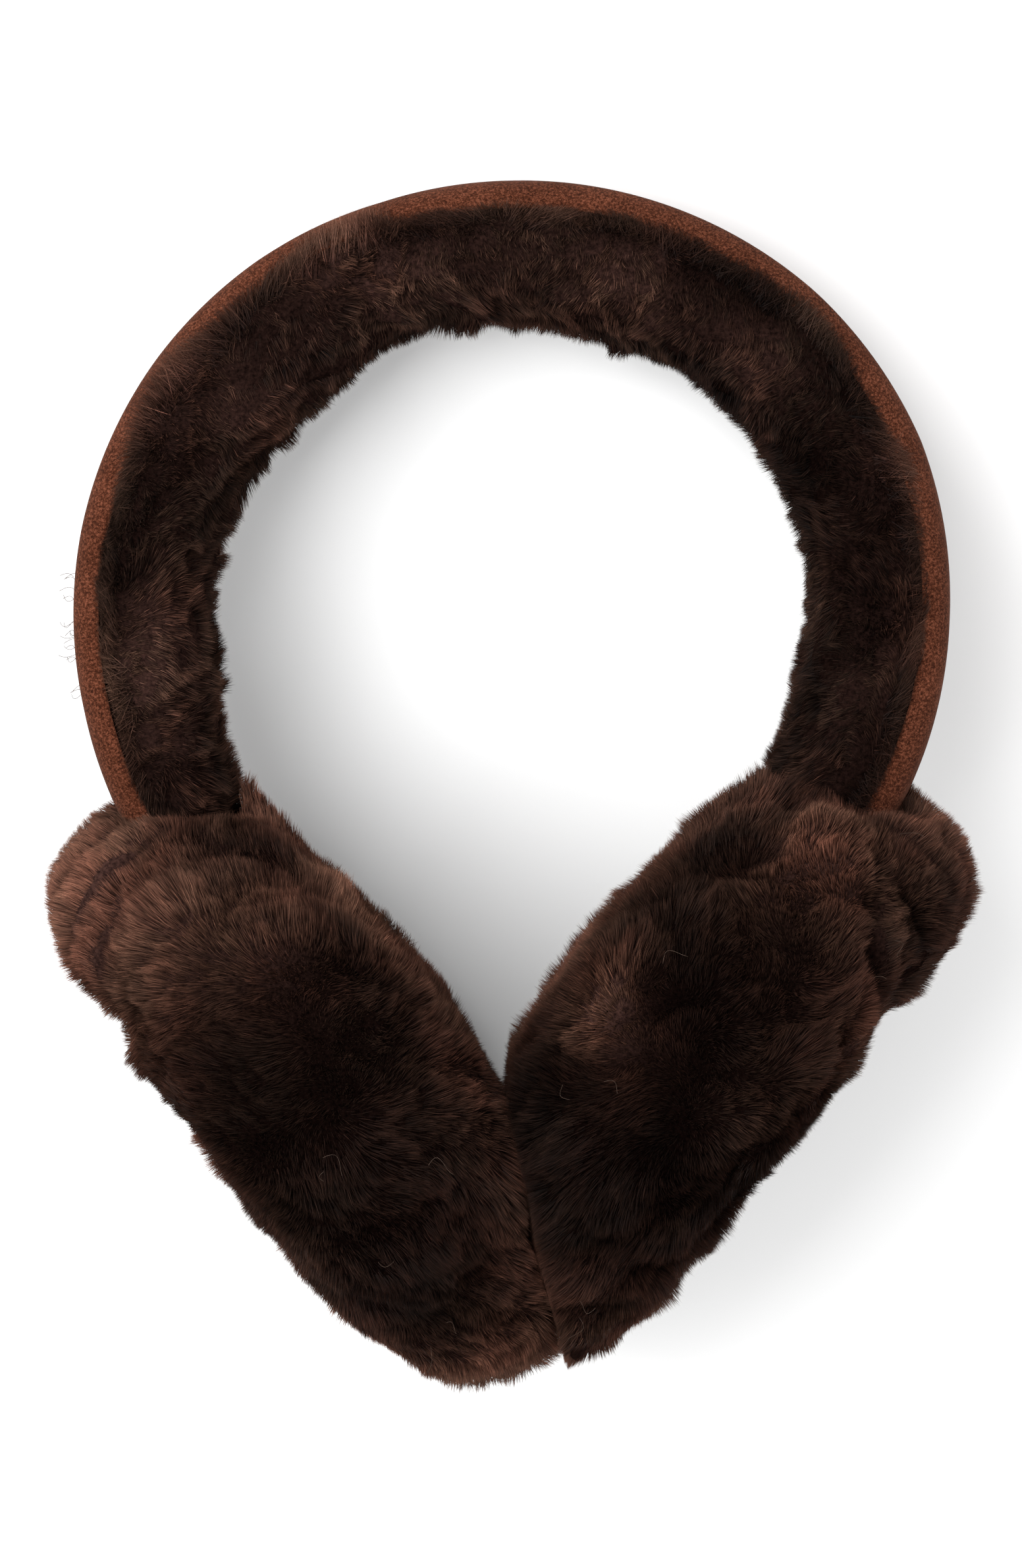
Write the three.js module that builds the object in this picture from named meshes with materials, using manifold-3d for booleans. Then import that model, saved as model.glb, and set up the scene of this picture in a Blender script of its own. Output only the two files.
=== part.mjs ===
// Shearling earmuffs lying on a flat surface: a headband of fur backed with suede, curled into a hoop by
// its spring, and two round fur ear pads that press against each other where the hoop is open.
// Units are millimetres and degrees. +Z is up, the surface is the plane Z = 0, and the origin is the
// middle of the footprint. The hoop has its own frame: x to the right, y to the crown and z to the front.
import * as THREE from "three";
import { mergeVertices } from "three/addons/utils/BufferGeometryUtils.js";
import Module from "manifold-3d";

// Headband
const hoopRadius = 72.4; // from the hoop's centre to the back of the suede
const bandWidth = 37; // across the suede, front to back
const bandDepth = 24.4; // from the back of the suede to the tips of the pile
const bandTurn = 118; // from the crown to the place where each end goes into its pad
const socketDepth = 15; // how far each end goes into its pad
const hiddenDepth = 13; // the depth of an end whose pile is pressed flat in the pad
const suedeThickness = 1.8;
const suedeCrown = 0.8; // how far the suede's back falls away towards its edges
const suedeEdge = 4.5; // the radius of the edges, where the suede turns in
const pileOverhang = 2.2; // how far the pile swells out past the suede, front and back
const bandLock = 2.4; // from the valleys between the headband's locks to their tips

// Ear pads
const padDiameter = 115;
const padThickness = 48;
const padSlope = 50; // each pad's long side, below the horizontal
const seamHeight = 16; // from a pad's middle plane to the seam between its cover and its face
const panelShare = 0.852; // the round part of either side of a pad, as a share of its radius
const faceLip = 2.5; // how thick the face is at its seam
const padLock = 2.4; // from the valleys between a pad's locks to their tips
const contactSlope = 12.5; // the plane where the pads press on each other, off the vertical
const contactShift = -2; // from half way between the pads to that plane
const endTaper = 0.05; // the share by which a pad is thicker at its upper end and thinner at its lower one

// Fit and rest
const clearance = 0.3; // between any two pieces
const padPress = 3.6; // how far the fur of a pad gives where it rests on the surface
const bandPress = 1; // the same at the headband's crown
const combLean = 1.5; // how far a lock's tip leans along the nap
const lockUneven = 0.25; // the share of a lock's height by which it falls short on average
const lockStray = 0.35; // the share of a lock's width by which its tip can stray sideways

// How finely the pieces are divided
const bandSteps = 56;
const socketSteps = 10;
const padColumns = 72;
const panelRings = 6;

// Stations along the headband, from the left end to the right one. at is a share of the turn from the
// crown to a pad, bow is a share of the hoop's radius, and depth is a share of the band's depth.
const bandStations = [
  { at: -1.0, bow: 0.992, depth: 0.9 },
  { at: -0.86, bow: 0.991, depth: 0.98 },
  { at: -0.66, bow: 0.998, depth: 0.99 },
  { at: -0.46, bow: 1.0, depth: 1.05 },
  { at: -0.3, bow: 0.998, depth: 1.03 },
  { at: -0.15, bow: 0.991, depth: 0.92 },
  { at: 0.0, bow: 0.994, depth: 1.0 },
  { at: 0.16, bow: 1.0, depth: 1.02 },
  { at: 0.36, bow: 1.008, depth: 0.99 },
  { at: 0.56, bow: 1.006, depth: 0.98 },
  { at: 0.76, bow: 0.985, depth: 0.97 },
  { at: 1.0, bow: 0.968, depth: 0.99 },
];

// The tips of the headband's pile, from the suede's edge to the middle of the inner side. out is a share of
// half the swollen width, and down is a share of the way from the suede's edges to the innermost tips.
const pileSection = [
  { out: 0.93, down: 0.04 },
  { out: 1.0, down: 0.18 },
  { out: 1.0, down: 0.39 },
  { out: 0.95, down: 0.61 },
  { out: 0.8, down: 0.81 },
  { out: 0.56, down: 0.93 },
  { out: 0.28, down: 0.98 },
];

// Rows of locks across a pad's wall, as shares of the height of the seam.
const wallRows = [1, 0.72, 0.42, 0.14, -0.14, -0.42, -0.72, -0.96];

// The two pads. side is -1 on the left, lap is how far a pad's end stands past the place where the band goes
// in, and offset is from the pad's middle plane to the middle of the band there.
const pads = [
  { name: "left", side: -1, lap: 7.9, offset: 11.5 },
  { name: "right", side: 1, lap: 9.5, offset: 8.2 },
];

// How a pad gives where the other one presses on it.
const squeezedFrom = 0.7; // the share of its radius within which its rim isn't squeezed in
const tipShare = 0.8; // the share of its half thickness that the plane takes at the squeezed rim
const pressedFrom = 0.88; // the share of its half thickness that stays as it is on the outer side

// Dents in each pad's fur. along is a share of the radius towards the pad's lower end, across is a share of
// half the thickness towards the ear, front is a share of the radius towards the front, and size and depth
// are shares of the thickness.
const padDents = [
  { along: -0.58, front: 0, across: -0.95, size: 0.2, depth: 0.07 },
  { along: -0.62, front: 0.66, across: 0.35, size: 0.17, depth: 0.06 },
  { along: 0.1, front: 0.98, across: 0.1, size: 0.24, depth: 0.05 },
  { along: 0.66, front: 0.62, across: -0.62, size: 0.15, depth: 0.05 },
];

const radians = THREE.MathUtils.degToRad;
const wasm = await Module();
wasm.setup();

// Helpers

// A repeatable number from -1 to 1 for two whole numbers.
function scatter(i, j) {
  const wave = Math.sin(i * 12.9898 + j * 78.233) * 43758.5453;
  return 2 * (wave - Math.floor(wave)) - 1;
}

// The value of a column of a table at a place along it, on straight lines between the rows.
function readTable(table, place, column) {
  const last = table.length - 1;
  const next = Math.min(Math.max(1, table.findIndex((row) => row.at >= place)), last);
  const found = place > table[last].at ? last : next;
  const [low, high] = [table[found - 1], table[found]];
  const share = THREE.MathUtils.clamp((place - low.at) / (high.at - low.at), 0, 1);
  return THREE.MathUtils.lerp(low[column], high[column], share);
}

function geometryOf(points, faces) {
  const geometry = new THREE.BufferGeometry();
  geometry.setAttribute("position", new THREE.Float32BufferAttribute(points.flatMap((p) => p.toArray()), 3));
  geometry.setIndex(faces.flat());
  geometry.computeVertexNormals();
  return geometry;
}

// A closed body through rings of points, with a flat cap at each end. The section runs anticlockwise, seen
// against the direction from the first ring to the last.
function loft(rings, section) {
  const around = rings[0].length;
  const faces = [];
  for (let i = 0; i + 1 < rings.length; i++) {
    for (let j = 0; j < around; j++) {
      const [a, b] = [i * around + j, i * around + ((j + 1) % around)];
      // The diagonal joins two valleys, so that each tip is the top of a small pyramid.
      if ((i + j) % 2) faces.push([a, b, b + around], [a, b + around, a + around]);
      else faces.push([a, b, a + around], [b, b + around, a + around]);
    }
  }
  const lastRing = (rings.length - 1) * around;
  for (const [a, b, c] of THREE.ShapeUtils.triangulateShape(section, [])) {
    faces.push([a, c, b], [lastRing + a, lastRing + b, lastRing + c]);
  }
  return geometryOf(rings.flat(), faces);
}

function solidOf(geometry) {
  const bare = new THREE.BufferGeometry();
  bare.setAttribute("position", geometry.getAttribute("position"));
  bare.setIndex(geometry.getIndex());
  const merged = mergeVertices(bare, 1e-4);
  return new wasm.Manifold(
    new wasm.Mesh({
      numProp: 3,
      vertProperties: merged.getAttribute("position").array,
      triVerts: new Uint32Array(merged.getIndex().array),
    }),
  );
}

function cutAway(geometry, tool) {
  const mesh = solidOf(geometry).subtract(solidOf(tool)).getMesh();
  const cut = new THREE.BufferGeometry();
  cut.setAttribute("position", new THREE.BufferAttribute(mesh.vertProperties, 3));
  cut.setIndex(new THREE.BufferAttribute(mesh.triVerts, 1));
  cut.computeVertexNormals();
  return cut;
}

function namedMesh(name, geometry, look) {
  const mesh = new THREE.Mesh(geometry, new THREE.MeshStandardMaterial(look));
  mesh.name = name;
  return mesh;
}

const suedeLook = { color: 0x6b3018, roughness: 0.95, metalness: 0 };
const bandFurLook = { color: 0x2c1a14, roughness: 0.9, metalness: 0 };
const padFurLook = { color: 0x35201a, roughness: 0.9, metalness: 0 };

// Headband

const halfWidth = bandWidth / 2;
const bandMiddle = hoopRadius - bandDepth / 2;
const endTurn = bandTurn + THREE.MathUtils.radToDeg(socketDepth / bandMiddle);

// A point of the hoop, at a turn in degrees from the crown, a radius, and a distance to the front.
function hoopPoint(turn, radius, front) {
  return new THREE.Vector3(radius * Math.sin(radians(turn)), radius * Math.cos(radians(turn)), front);
}

function backRadius(turn) {
  return hoopRadius * readTable(bandStations, turn / bandTurn, "bow");
}

// 1 where the band shows, falling to 0 at its ends.
function shown(turn) {
  return 1 - THREE.MathUtils.smoothstep(Math.abs(turn), bandTurn, endTurn);
}

function depthAt(turn) {
  const open = bandDepth * readTable(bandStations, turn / bandTurn, "depth");
  return THREE.MathUtils.lerp(hiddenDepth, open, shown(turn));
}

// The suede's section at a distance inside its outer skin, from the front edge to the back one, as
// x, the distance to the front, and y, the drop from the suede's back.
function suedeLine(inset) {
  const flat = halfWidth - suedeEdge;
  const bend = Math.max(suedeEdge - inset, 0.1);
  const half = [90, 45, 0].map((angle) => {
    const [sin, cos] = [Math.sin(radians(angle)), Math.cos(radians(angle))];
    return new THREE.Vector2(flat + bend * sin, suedeCrown + suedeEdge - bend * cos);
  });
  const other = half.map((p) => new THREE.Vector2(-p.x, p.y)).reverse();
  return [...half, new THREE.Vector2(0, inset), ...other];
}

function bandTurns(steps) {
  return Array.from({ length: steps + 1 }, (_, i) => THREE.MathUtils.lerp(-endTurn, endTurn, i / steps));
}

function ringAt(turn, section) {
  return section.map((p) => hoopPoint(turn, backRadius(turn) - p.y, p.x));
}

function suedeGeometry() {
  const section = [...suedeLine(suedeThickness), ...suedeLine(0).reverse()];
  return loft(bandTurns(bandSteps).map((turn) => ringAt(turn, section)), section);
}

// The section of the pile. It nests in the suede and swells out past its edges.
function pileLine(turn) {
  const depth = depthAt(turn);
  const edge = suedeCrown + suedeEdge + clearance;
  const span = halfWidth + pileOverhang * shown(turn);
  const down = (share) => THREE.MathUtils.lerp(edge, depth, share);
  const half = pileSection.map((row) => new THREE.Vector2(row.out * span, down(row.down)));
  const other = half.map((p) => new THREE.Vector2(-p.x, p.y)).reverse();
  return [...half, new THREE.Vector2(0, depth), ...other];
}

function pileRing(turn, i) {
  const nested = suedeLine(suedeThickness + clearance);
  const tips = pileLine(turn);
  const line = tips.map((tip, j) => {
    const before = tips[j - 1] ?? nested[0];
    const after = tips[j + 1] ?? nested[nested.length - 1];
    const inwards = new THREE.Vector2(after.y - before.y, before.x - after.x).normalize().negate();
    const high = (i + j + nested.length) % 2 === 0;
    const dip = (high ? lockUneven * (1 + scatter(i, j)) : 1) * bandLock * shown(turn);
    const point = tip.clone().addScaledVector(inwards, dip);
    const lean = high ? THREE.MathUtils.radToDeg(combLean / bandMiddle) * shown(turn) : 0;
    return { point, turn: turn + lean * scatter(j, i) };
  });
  const under = [...nested].reverse().map((point) => ({ point, turn }));
  return [...under, ...line].map(({ point, turn: at }) => hoopPoint(at, backRadius(turn) - point.y, point.x));
}

function pileGeometry() {
  const cap = [...suedeLine(suedeThickness + clearance).reverse(), ...pileLine(endTurn)];
  const rings = bandTurns(bandSteps).map((turn, i) => pileRing(turn, i));
  return loft(rings, cap);
}

// The space that an end of the headband takes in its pad, with the clearance round it.
function socketGeometry(side) {
  const from = bandTurn - 2 * (endTurn - bandTurn);
  const to = endTurn + THREE.MathUtils.radToDeg(clearance / bandMiddle);
  const sectionAt = (turn) => {
    const [half, depth] = [halfWidth + pileOverhang + clearance, depthAt(turn) + clearance];
    const corner = suedeEdge;
    return [
      [half - corner, -clearance], [half - corner / 4, corner / 2], [half, corner],
      [half, depth - corner], [half - corner / 4, depth - corner / 2], [half - corner, depth],
    ].flatMap(([front, drop]) => [new THREE.Vector2(front, drop), new THREE.Vector2(-front, drop)]);
  };
  const order = [1, 0, 2, 4, 6, 8, 10, 11, 9, 7, 5, 3];
  const rings = [];
  for (let i = 0; i <= socketSteps; i++) {
    const turn = side * THREE.MathUtils.lerp(from, to, i / socketSteps);
    const corners = sectionAt(turn);
    rings.push(ringAt(turn, order.map((k) => corners[k])));
  }
  if (side < 0) rings.reverse();
  const corners = sectionAt(side * to);
  return loft(rings, order.map((k) => corners[k]));
}

// Ear pads. A pad's frame has x along its long side to its lower end, z out of the face that meets the ear,
// and y to the back on the left pad and to the front on the right one.

const padRadius = padDiameter / 2;
const panelRadius = panelShare * padRadius;
const halfThickness = padThickness / 2;
const roundnessAcross = 5; // the powers of the pad's rounded profile
const roundnessThrough = 2.6;

// Half the pad's thickness at a distance from its axis.
function padHeight(radius) {
  const share = Math.min(radius / padRadius, 1);
  return halfThickness * Math.pow(1 - Math.pow(share, roundnessAcross), 1 / roundnessThrough);
}

// The distance from the pad's axis at which it has a given half thickness.
function padReach(height) {
  const share = Math.min(Math.abs(height) / halfThickness, 1);
  return padRadius * Math.pow(1 - Math.pow(share, roundnessThrough), 1 / roundnessAcross);
}

function padFrame(pad) {
  const slope = radians(padSlope);
  const along = new THREE.Vector3(-pad.side * Math.cos(slope), -Math.sin(slope), 0);
  const ear = new THREE.Vector3(-pad.side * Math.sin(slope), Math.cos(slope), 0);
  const back = new THREE.Vector3().crossVectors(ear, along);
  const centre = hoopPoint(pad.side * bandTurn, bandMiddle, 0)
    .addScaledVector(along, padRadius - pad.lap)
    .addScaledVector(ear, -pad.offset);
  return new THREE.Matrix4().makeBasis(along, back, ear).setPosition(centre);
}

// The plane where the pads meet. Its normal points into the pad on the given side.
function contactPlane(side) {
  const centres = pads.map((pad) => new THREE.Vector3().setFromMatrixPosition(padFrame(pad)));
  const middle = centres[0].clone().add(centres[1]).multiplyScalar(0.5);
  middle.x += contactShift;
  const slope = radians(contactSlope);
  const normal = new THREE.Vector3(side * Math.cos(slope), side * Math.sin(slope), 0);
  return new THREE.Plane().setFromNormalAndCoplanarPoint(normal, middle).translate(
    normal.clone().multiplyScalar(clearance / 2),
  );
}

// How much of a lock stands up at a point of the hoop's frame: none where the band presses on it.
function lockShare(point, side) {
  const turn = side * THREE.MathUtils.radToDeg(Math.atan2(side * point.x, point.y));
  const radius = Math.hypot(point.x, point.y);
  const margin = 2 * padLock;
  const half = halfWidth + pileOverhang;
  const beyond = Math.max(
    Math.abs(point.z) - half,
    radius - backRadius(turn),
    backRadius(turn) - depthAt(turn) - radius,
    radians(Math.abs(turn) - endTurn) * bandMiddle,
    0,
  );
  return THREE.MathUtils.smoothstep(beyond, margin, 2 * margin);
}

// How far out a pad reaches in a direction, before it meets the plane where the pads press on each other.
function pressedReach(direction, contact) {
  const { normal, constant } = contact;
  const slope = normal.x * direction.x + normal.y * direction.y;
  const room = (radius) => -(constant + slope * radius) / normal.z + tipShare * padHeight(radius);
  if (room(padRadius) > 0) return padRadius;
  let [low, high] = [squeezedFrom * padRadius, padRadius];
  for (let i = 0; i < 20; i++) {
    const radius = (low + high) / 2;
    if (room(radius) > 0) low = radius;
    else high = radius;
  }
  return low;
}

// Everything that bends a pad's fur: its dents, its fuller upper end, and the other pad, which squeezes its
// rim in and presses its thickness together.
function shapePad(point, pad, contact) {
  const shaped = point.clone();
  for (const dent of padDents) {
    const centre = new THREE.Vector3(
      dent.along * padRadius,
      dent.front * padRadius * pad.side,
      dent.across * halfThickness,
    );
    const size = dent.size * padThickness;
    const share = Math.exp(-Math.pow(point.distanceTo(centre) / size, 2));
    shaped.addScaledVector(centre.normalize(), -dent.depth * padThickness * share);
  }
  const flat = new THREE.Vector2(shaped.x, shaped.y);
  const radius = flat.length();
  const start = squeezedFrom * padRadius;
  if (radius > start) {
    const reach = pressedReach(flat.clone().normalize(), contact);
    const squeeze = (reach - start) / (padRadius - start);
    flat.setLength(start + (radius - start) * squeeze);
    shaped.setX(flat.x).setY(flat.y);
  }
  const fullness = 1 - (endTaper * shaped.x) / padRadius;
  const { normal, constant } = contact;
  const top = padHeight(radius) * fullness;
  const free = -(constant + normal.x * shaped.x + normal.y * shaped.y) / normal.z;
  const kept = -pressedFrom * halfThickness;
  const share = (Math.min(top, free) - kept) / (top - kept);
  shaped.z *= fullness;
  if (shaped.z > kept) shaped.z = Math.min(kept + (shaped.z - kept) * share, free);
  return shaped;
}

// A disc of near equal triangles: rings of 6, 12, 18 ... points round a middle one. It gives the points as
// shares of the radius and the faces as triples.
function hexDisc() {
  const points = [new THREE.Vector2(0, 0)];
  for (let ring = 1; ring <= panelRings; ring++) {
    for (let k = 0; k < 6 * ring; k++) {
      const angle = (k / (6 * ring)) * 2 * Math.PI;
      points.push(new THREE.Vector2(Math.cos(angle), Math.sin(angle)).multiplyScalar(ring / panelRings));
    }
  }
  const start = (ring) => (ring === 0 ? 0 : 1 + 3 * ring * (ring - 1));
  const faces = [];
  for (let ring = 1; ring <= panelRings; ring++) {
    for (let sector = 0; sector < 6; sector++) {
      for (let k = 0; k < ring; k++) {
        const outer = (step) => start(ring) + ((sector * ring + step) % (6 * ring));
        const inside = Math.max(6 * (ring - 1), 1);
        const inner = (step) => start(ring - 1) + ((sector * (ring - 1) + step) % inside);
        faces.push([outer(k), outer(k + 1), inner(k)]);
        if (k + 1 < ring) faces.push([inner(k), outer(k + 1), inner(k + 1)]);
      }
    }
  }
  return { points, faces, rim: Array.from({ length: 6 * panelRings }, (_, k) => start(panelRings) + k) };
}

// A disc of pile: a lock on each of its triangles, leaning along the nap. The tips lie at a height that
// varies with the distance from the axis.
function pileDisc(disc, heightAt, rimDip, lockAt) {
  const place = (p, height) => new THREE.Vector3(p.x * panelRadius, p.y * panelRadius, height);
  const tipOf = (p) => heightAt(p.length() * panelRadius);
  const points = disc.points.map((p) => place(p, tipOf(p) - (p.length() > 0.99 ? rimDip : padLock)));
  const faces = [];
  disc.faces.forEach(([a, b, c], i) => {
    const middle = disc.points[a].clone().add(disc.points[b]).add(disc.points[c]).divideScalar(3);
    const lean = new THREE.Vector2(1, lockStray * scatter(i, 1)).multiplyScalar(combLean / panelRadius);
    const tip = place(middle.clone().add(lean), tipOf(middle));
    const base = points[a].clone().add(points[b]).add(points[c]).divideScalar(3);
    const apex = points.push(base.lerp(tip, lockAt(tip))) - 1;
    faces.push([a, b, apex], [b, c, apex], [c, a, apex]);
  });
  return { points, faces };
}

// The seam's plane inside a pad, bent as the pad is and moved by half the clearance.
function seamPoints(disc, shape, shift) {
  const onSeam = (p) => shape(new THREE.Vector3(p.x * panelRadius, p.y * panelRadius, seamHeight));
  return disc.points.map((p) => onSeam(p).add(new THREE.Vector3(0, 0, shift)));
}

// The face that meets the ear: a disc of pile on a flat foot.
function facePoints(shape, lockAt) {
  const disc = hexDisc();
  const heightAt = (radius) => Math.max(padHeight(radius), seamHeight + faceLip);
  const pile = pileDisc(disc, heightAt, 0, lockAt);
  const faces = pile.faces;
  const points = pile.points.map(shape);
  const under = points.length;
  points.push(...seamPoints(disc, shape, clearance / 2));
  for (const [a, b, c] of disc.faces) faces.push([under + a, under + c, under + b]);
  disc.rim.forEach((a, k) => {
    const b = disc.rim[(k + 1) % disc.rim.length];
    faces.push([under + a, under + b, b], [under + a, b, a]);
  });
  return geometryOf(points, faces);
}

// The cover with the padding that it wraps: rows of locks round its wall, a domed disc of pile on its outer
// side and a flat seat for the face on the other.
function coverPoints(shape, lockAt) {
  const disc = hexDisc();
  const points = [];
  const faces = [];
  wallRows.forEach((row, i) => {
    const height = row * seamHeight;
    for (let k = 0; k < padColumns; k++) {
      const high = (i + k) % 2 === 0 && i > 0;
      const angle = ((k + (high ? lockStray * scatter(k, i) : 0)) / padColumns) * 2 * Math.PI;
      const outwards = new THREE.Vector3(Math.cos(angle), Math.sin(angle), 0);
      const tip = outwards.clone().multiplyScalar(padReach(height)).setZ(height);
      const stand = high ? lockAt(tip) * (1 - lockUneven * (1 + scatter(i, k))) : 0;
      const dip = i > 0 ? (1 - stand) * padLock : 0;
      const drop = i > 0 ? 0 : clearance / 2;
      points.push(shape(tip.addScaledVector(outwards, -dip)).sub(new THREE.Vector3(0, 0, drop)));
    }
  });
  for (let i = 0; i + 1 < wallRows.length; i++) {
    for (let k = 0; k < padColumns; k++) {
      const [a, b] = [i * padColumns + k, i * padColumns + ((k + 1) % padColumns)];
      const [c, d] = [a + padColumns, b + padColumns];
      if ((i + k) % 2) faces.push([a, c, d], [a, d, b]);
      else faces.push([a, c, b], [b, c, d]);
    }
  }
  const dome = pileDisc(disc, padHeight, padLock, (tip) => lockAt(tip.clone().setZ(-tip.z)));
  const domed = dome.points.map((p) => shape(p.setZ(-p.z)));
  const ends = [
    { row: 0, points: seamPoints(disc, shape, -clearance / 2), faces: disc.faces, up: true },
    { row: wallRows.length - 1, points: domed, faces: dome.faces, up: false },
  ];
  for (const end of ends) {
    const first = points.length;
    const add = (a, b, c) => faces.push(end.up ? [a, b, c] : [a, c, b]);
    points.push(...end.points);
    for (const [a, b, c] of end.faces) add(first + a, first + b, first + c);
    const perSide = padColumns / disc.rim.length;
    disc.rim.forEach((a, k) => {
      const b = disc.rim[(k + 1) % disc.rim.length];
      const outer = (step) => end.row * padColumns + ((k * perSide + step) % padColumns);
      for (let step = 0; step < perSide; step++) add(first + a, outer(step), outer(step + 1));
      add(first + a, outer(perSide), first + b);
    });
  }
  return geometryOf(points, faces);
}

function padPieces(pad) {
  const frame = padFrame(pad);
  const inverse = frame.clone().invert();
  const contact = contactPlane(pad.side).applyMatrix4(inverse);
  const shape = (point) => shapePad(point, pad, contact);
  const lockAt = (point) => lockShare(point.clone().applyMatrix4(frame), pad.side);
  return {
    frame,
    socket: socketGeometry(pad.side).applyMatrix4(inverse),
    cover: coverPoints(shape, lockAt),
    face: facePoints(shape, lockAt),
  };
}

// The rest on the surface

function pointsOf(geometry, matrix) {
  const position = geometry.getAttribute("position");
  return Array.from({ length: position.count }, (_, i) =>
    new THREE.Vector3().fromBufferAttribute(position, i).applyMatrix4(matrix),
  );
}

// How low a set of points of the hoop's frame reaches once the hoop leans by a tilt, crown down.
function lowest(points, tilt) {
  const up = new THREE.Vector3(0, -Math.sin(tilt), Math.cos(tilt));
  return points.reduce((low, p) => Math.min(low, p.dot(up)), Infinity);
}

// The tilt at which the pads and the headband's crown meet the surface together.
function restingTilt(padPoints, bandPoints) {
  let [low, high] = [0, Math.PI / 4];
  for (let i = 0; i < 40; i++) {
    const tilt = (low + high) / 2;
    const gap = lowest(bandPoints, tilt) + bandPress - lowest(padPoints, tilt) - padPress;
    if (gap > 0) low = tilt;
    else high = tilt;
  }
  return (low + high) / 2;
}

// Presses flat against a plane whatever lies behind it.
function pressOn(geometry, plane) {
  const position = geometry.getAttribute("position");
  const point = new THREE.Vector3();
  for (let i = 0; i < position.count; i++) {
    point.fromBufferAttribute(position, i);
    const behind = Math.min(plane.distanceToPoint(point), 0);
    point.addScaledVector(plane.normal, -behind);
    position.setXYZ(i, point.x, point.y, point.z);
  }
  geometry.computeVertexNormals();
  return geometry;
}

// Assembly

const suede = suedeGeometry();
const pile = pileGeometry();
const padParts = pads.map((pad) => ({ pad, ...padPieces(pad) }));
const still = new THREE.Matrix4();
const padPoints = padParts.flatMap(({ cover, frame }) => pointsOf(cover, frame));
const bandPoints = [...pointsOf(pile, still), ...pointsOf(suede, still)];
const tilt = restingTilt(padPoints, bandPoints);
const floorDrop = lowest(padPoints, tilt) + padPress;
const floor = new THREE.Plane(new THREE.Vector3(0, -Math.sin(tilt), Math.cos(tilt)), -floorDrop);

const hoop = new THREE.Group();
hoop.add(namedMesh("headband_suede", pressOn(suede, floor), suedeLook));
hoop.add(namedMesh("headband_pile", pressOn(pile, floor), bandFurLook));
for (const { pad, frame, socket, ...pieces } of padParts) {
  const group = new THREE.Group();
  group.applyMatrix4(frame);
  const floorHere = floor.clone().applyMatrix4(frame.clone().invert());
  for (const [piece, geometry] of Object.entries(pieces)) {
    const cut = cutAway(pressOn(geometry, floorHere), socket);
    group.add(namedMesh(`${pad.name}_pad_${piece}`, cut, padFurLook));
  }
  hoop.add(group);
}
hoop.rotation.x = -tilt;

const earmuffs = new THREE.Group();
earmuffs.add(hoop);
const reach = new THREE.Box3().setFromObject(earmuffs, true);
const middle = reach.getCenter(new THREE.Vector3());
hoop.position.set(-middle.x, -middle.y, -reach.min.z);

export default earmuffs;
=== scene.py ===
"""Shearling earmuffs: fur grown over the headband and the two ear pads, and the suede on the headband's back.

Shapes are worked out in millimetres in the hoop's own frame (x right, y to the crown, z to the front) and
placed in the frame that the CAD model is in, in metres.
"""
import math

import bpy
import numpy as np
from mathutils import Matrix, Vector


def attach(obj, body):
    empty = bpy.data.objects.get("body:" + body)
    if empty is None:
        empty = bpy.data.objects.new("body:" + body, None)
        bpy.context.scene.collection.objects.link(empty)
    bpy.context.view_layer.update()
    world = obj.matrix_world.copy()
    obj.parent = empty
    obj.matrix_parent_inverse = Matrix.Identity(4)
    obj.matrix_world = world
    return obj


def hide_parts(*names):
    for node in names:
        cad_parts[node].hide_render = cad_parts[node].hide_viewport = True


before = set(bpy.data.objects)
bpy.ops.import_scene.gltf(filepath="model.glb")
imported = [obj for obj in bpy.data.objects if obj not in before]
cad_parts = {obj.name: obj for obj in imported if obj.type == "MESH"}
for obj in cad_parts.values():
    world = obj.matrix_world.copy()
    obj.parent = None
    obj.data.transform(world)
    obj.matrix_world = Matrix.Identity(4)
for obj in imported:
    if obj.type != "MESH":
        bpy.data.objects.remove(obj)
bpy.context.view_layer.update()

MM = 0.001

# Where the hoop's frame is in the frame of the CAD model
HOOP_TILT = math.radians(15.0212)
HOOP_CENTRE = (0.7497, 25.3605, 34.8354)

# Headband, as in the CAD model
HOOP_RADIUS = 72.4
BAND_WIDTH = 37.0
BAND_DEPTH = 24.4
BAND_TURN = 118.0
SOCKET_DEPTH = 15.0
HIDDEN_DEPTH = 13.0
SUEDE_THICKNESS = 1.8
SUEDE_CROWN = 0.8
SUEDE_EDGE = 4.5
PILE_OVERHANG = 2.2
CLEARANCE = 0.3
PILE_EDGE = SUEDE_CROWN + SUEDE_EDGE + CLEARANCE  # how far inside the hoop's outside the pile starts

# Pads, as in the CAD model
PAD_RADIUS = 57.5
PAD_HALF = 24.0
PAD_SLOPE = 50.0
SEAM_HEIGHT = 16.0
CONTACT_SLOPE = 12.5
CONTACT_SHIFT = -2.0
END_TAPER = 0.05
SQUEEZED_FROM = 0.7
TIP_SHARE = 0.8
PRESSED_FROM = 0.88
ACROSS_POWER = 5.0
THROUGH_POWER = 2.6

# at: share of the turn from the crown to a pad; bow: share of the radius; depth: share of the depth
BAND_STATIONS = (
    (-1.0, 0.992, 0.9), (-0.86, 0.991, 0.98), (-0.66, 0.998, 0.99), (-0.46, 1.0, 1.05),
    (-0.3, 0.998, 1.03), (-0.15, 0.991, 0.92), (0.0, 0.994, 1.0), (0.16, 1.0, 1.02),
    (0.36, 1.008, 0.99), (0.56, 1.006, 0.98), (0.76, 0.985, 0.97), (1.0, 0.968, 0.99),
)
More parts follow.
